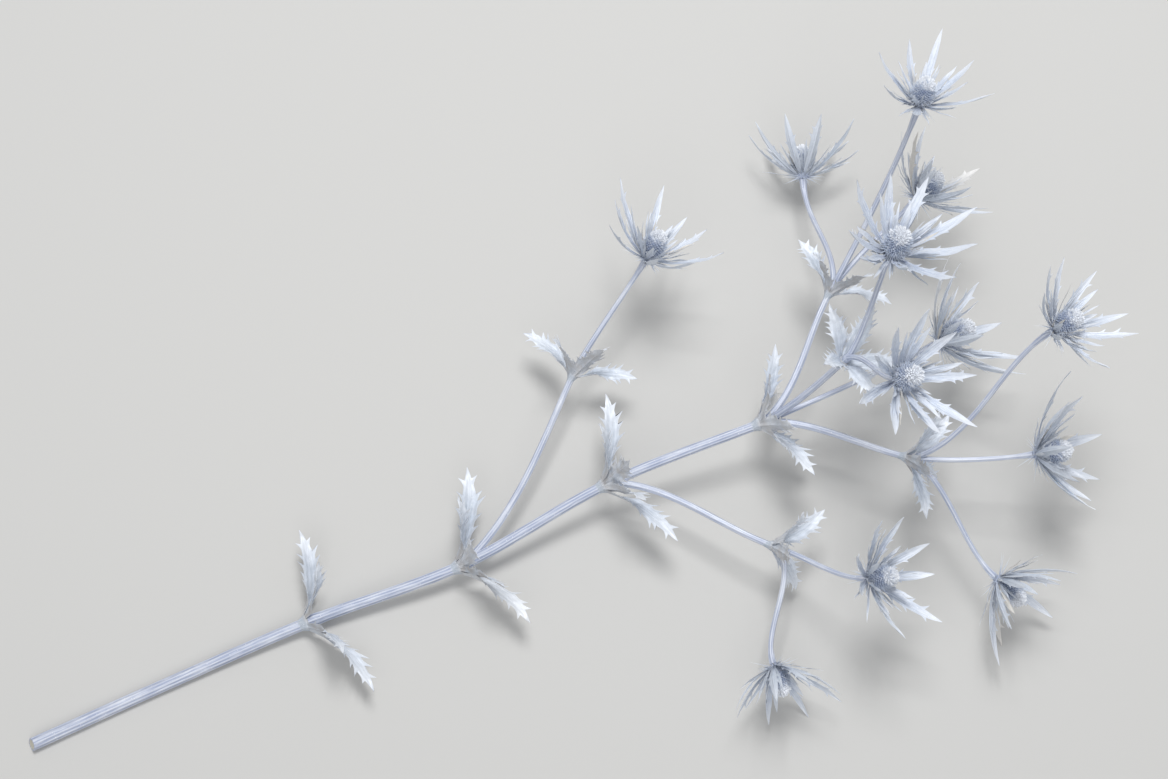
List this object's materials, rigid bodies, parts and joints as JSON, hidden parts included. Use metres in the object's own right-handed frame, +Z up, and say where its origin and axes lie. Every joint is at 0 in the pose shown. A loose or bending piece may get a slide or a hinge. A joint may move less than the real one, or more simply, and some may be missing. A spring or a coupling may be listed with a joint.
{
  "type": "sea holly stem",
  "caption": "Cut thistle-like stem lying on its side: ribbed forking stalk, whorls of spiny leaf lobes and egg-shaped flower cones, each in a ruff of long toothed bracts.",
  "frame": {"origin": "on the surface that the stem lies on, under the middle of its whole spread", "axes": "+Y along the stem from its cut end towards its heads, +Z up from the surface"},
  "size_m": [0.334, 0.6198, 0.1796],
  "materials": {
    "stem": "satin lilac-silver spray paint",
    "leaves": "matte silver spray paint, greener beneath",
    "bracts": "satin silver-white spray paint, whiter at edges and tips",
    "cones": "matte slate-blue with a cream crown"
  },
  "bodies": {
    "root": {"head_1_bracts": "bracts", "head_1_cone": "cones", "head_2_bracts": "bracts", "head_2_cone": "cones", "head_3_bracts": "bracts", "head_3_cone": "cones", "head_4_bracts": "bracts", "head_4_cone": "cones", "head_5_bracts": "bracts", "head_5_cone": "cones", "head_6_bracts": "bracts", "head_6_cone": "cones", "head_7_bracts": "bracts", "head_7_cone": "cones", "head_8_bracts": "bracts", "head_8_cone": "cones", "head_9_bracts": "bracts", "head_9_cone": "cones", "head_10_bracts": "bracts", "head_10_cone": "cones", "head_11_bracts": "bracts", "head_11_cone": "cones", "head_12_bracts": "bracts", "head_12_cone": "cones", "leaves_leaf": "leaves", "leaves_low": "leaves", "leaves_high": "leaves", "leaves_fork": "leaves", "leaves_left": "leaves", "leaves_right": "leaves", "leaves_upper": "leaves", "leaves_outer": "leaves", "leaves_lower": "leaves", "stem": "stem"}
  },
  "joints": []
}
